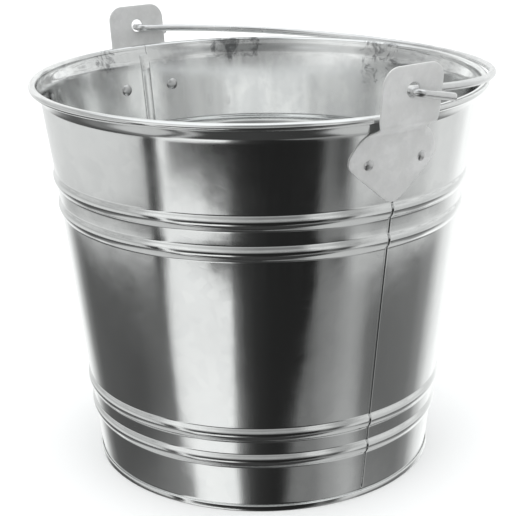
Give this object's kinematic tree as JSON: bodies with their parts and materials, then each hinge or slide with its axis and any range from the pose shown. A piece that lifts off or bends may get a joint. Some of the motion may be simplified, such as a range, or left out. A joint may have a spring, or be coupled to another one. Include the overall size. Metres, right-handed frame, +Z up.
{
  "type": "steel bucket with wire bail",
  "caption": "Tapered galvanised sheet-steel bucket with a wired rim, rolled beads, riveted ears and a swinging wire bail.",
  "frame": {"origin": "centre of the base on the plane the bucket stands on", "axes": "+Z up; the bail's pivot axis runs along X through the two ears; the resting bail lies towards +Y"},
  "size_m": [0.3276, 0.31, 0.2925],
  "materials": {
    "galvanised_sheet": "bright zinc coated sheet with faint spangle",
    "ear_plate": "matt zinc coated plate",
    "rivet": "matt zinc",
    "bail_wire": "bright zinc coated wire",
    "rim_wire": "plain drawn wire"
  },
  "bodies": {
    "pail": {"panel_front": "galvanised_sheet", "panel_back": "galvanised_sheet", "base_pan": "galvanised_sheet", "rim_wire": "rim_wire", "ear_right": "ear_plate", "ear_left": "ear_plate", "rivet_right_front": "rivet", "rivet_right_back": "rivet", "rivet_left_front": "rivet", "rivet_left_back": "rivet"},
    "bail": {"bail": "bail_wire"}
  },
  "joints": [
    {"name": "bail_swing", "type": "hinge", "parent": "pail", "child": "bail", "pos_m": [0, -0.0022, 0.2764], "axis": [1, 0, 0], "range_deg": [0, 193.6]}
  ]
}
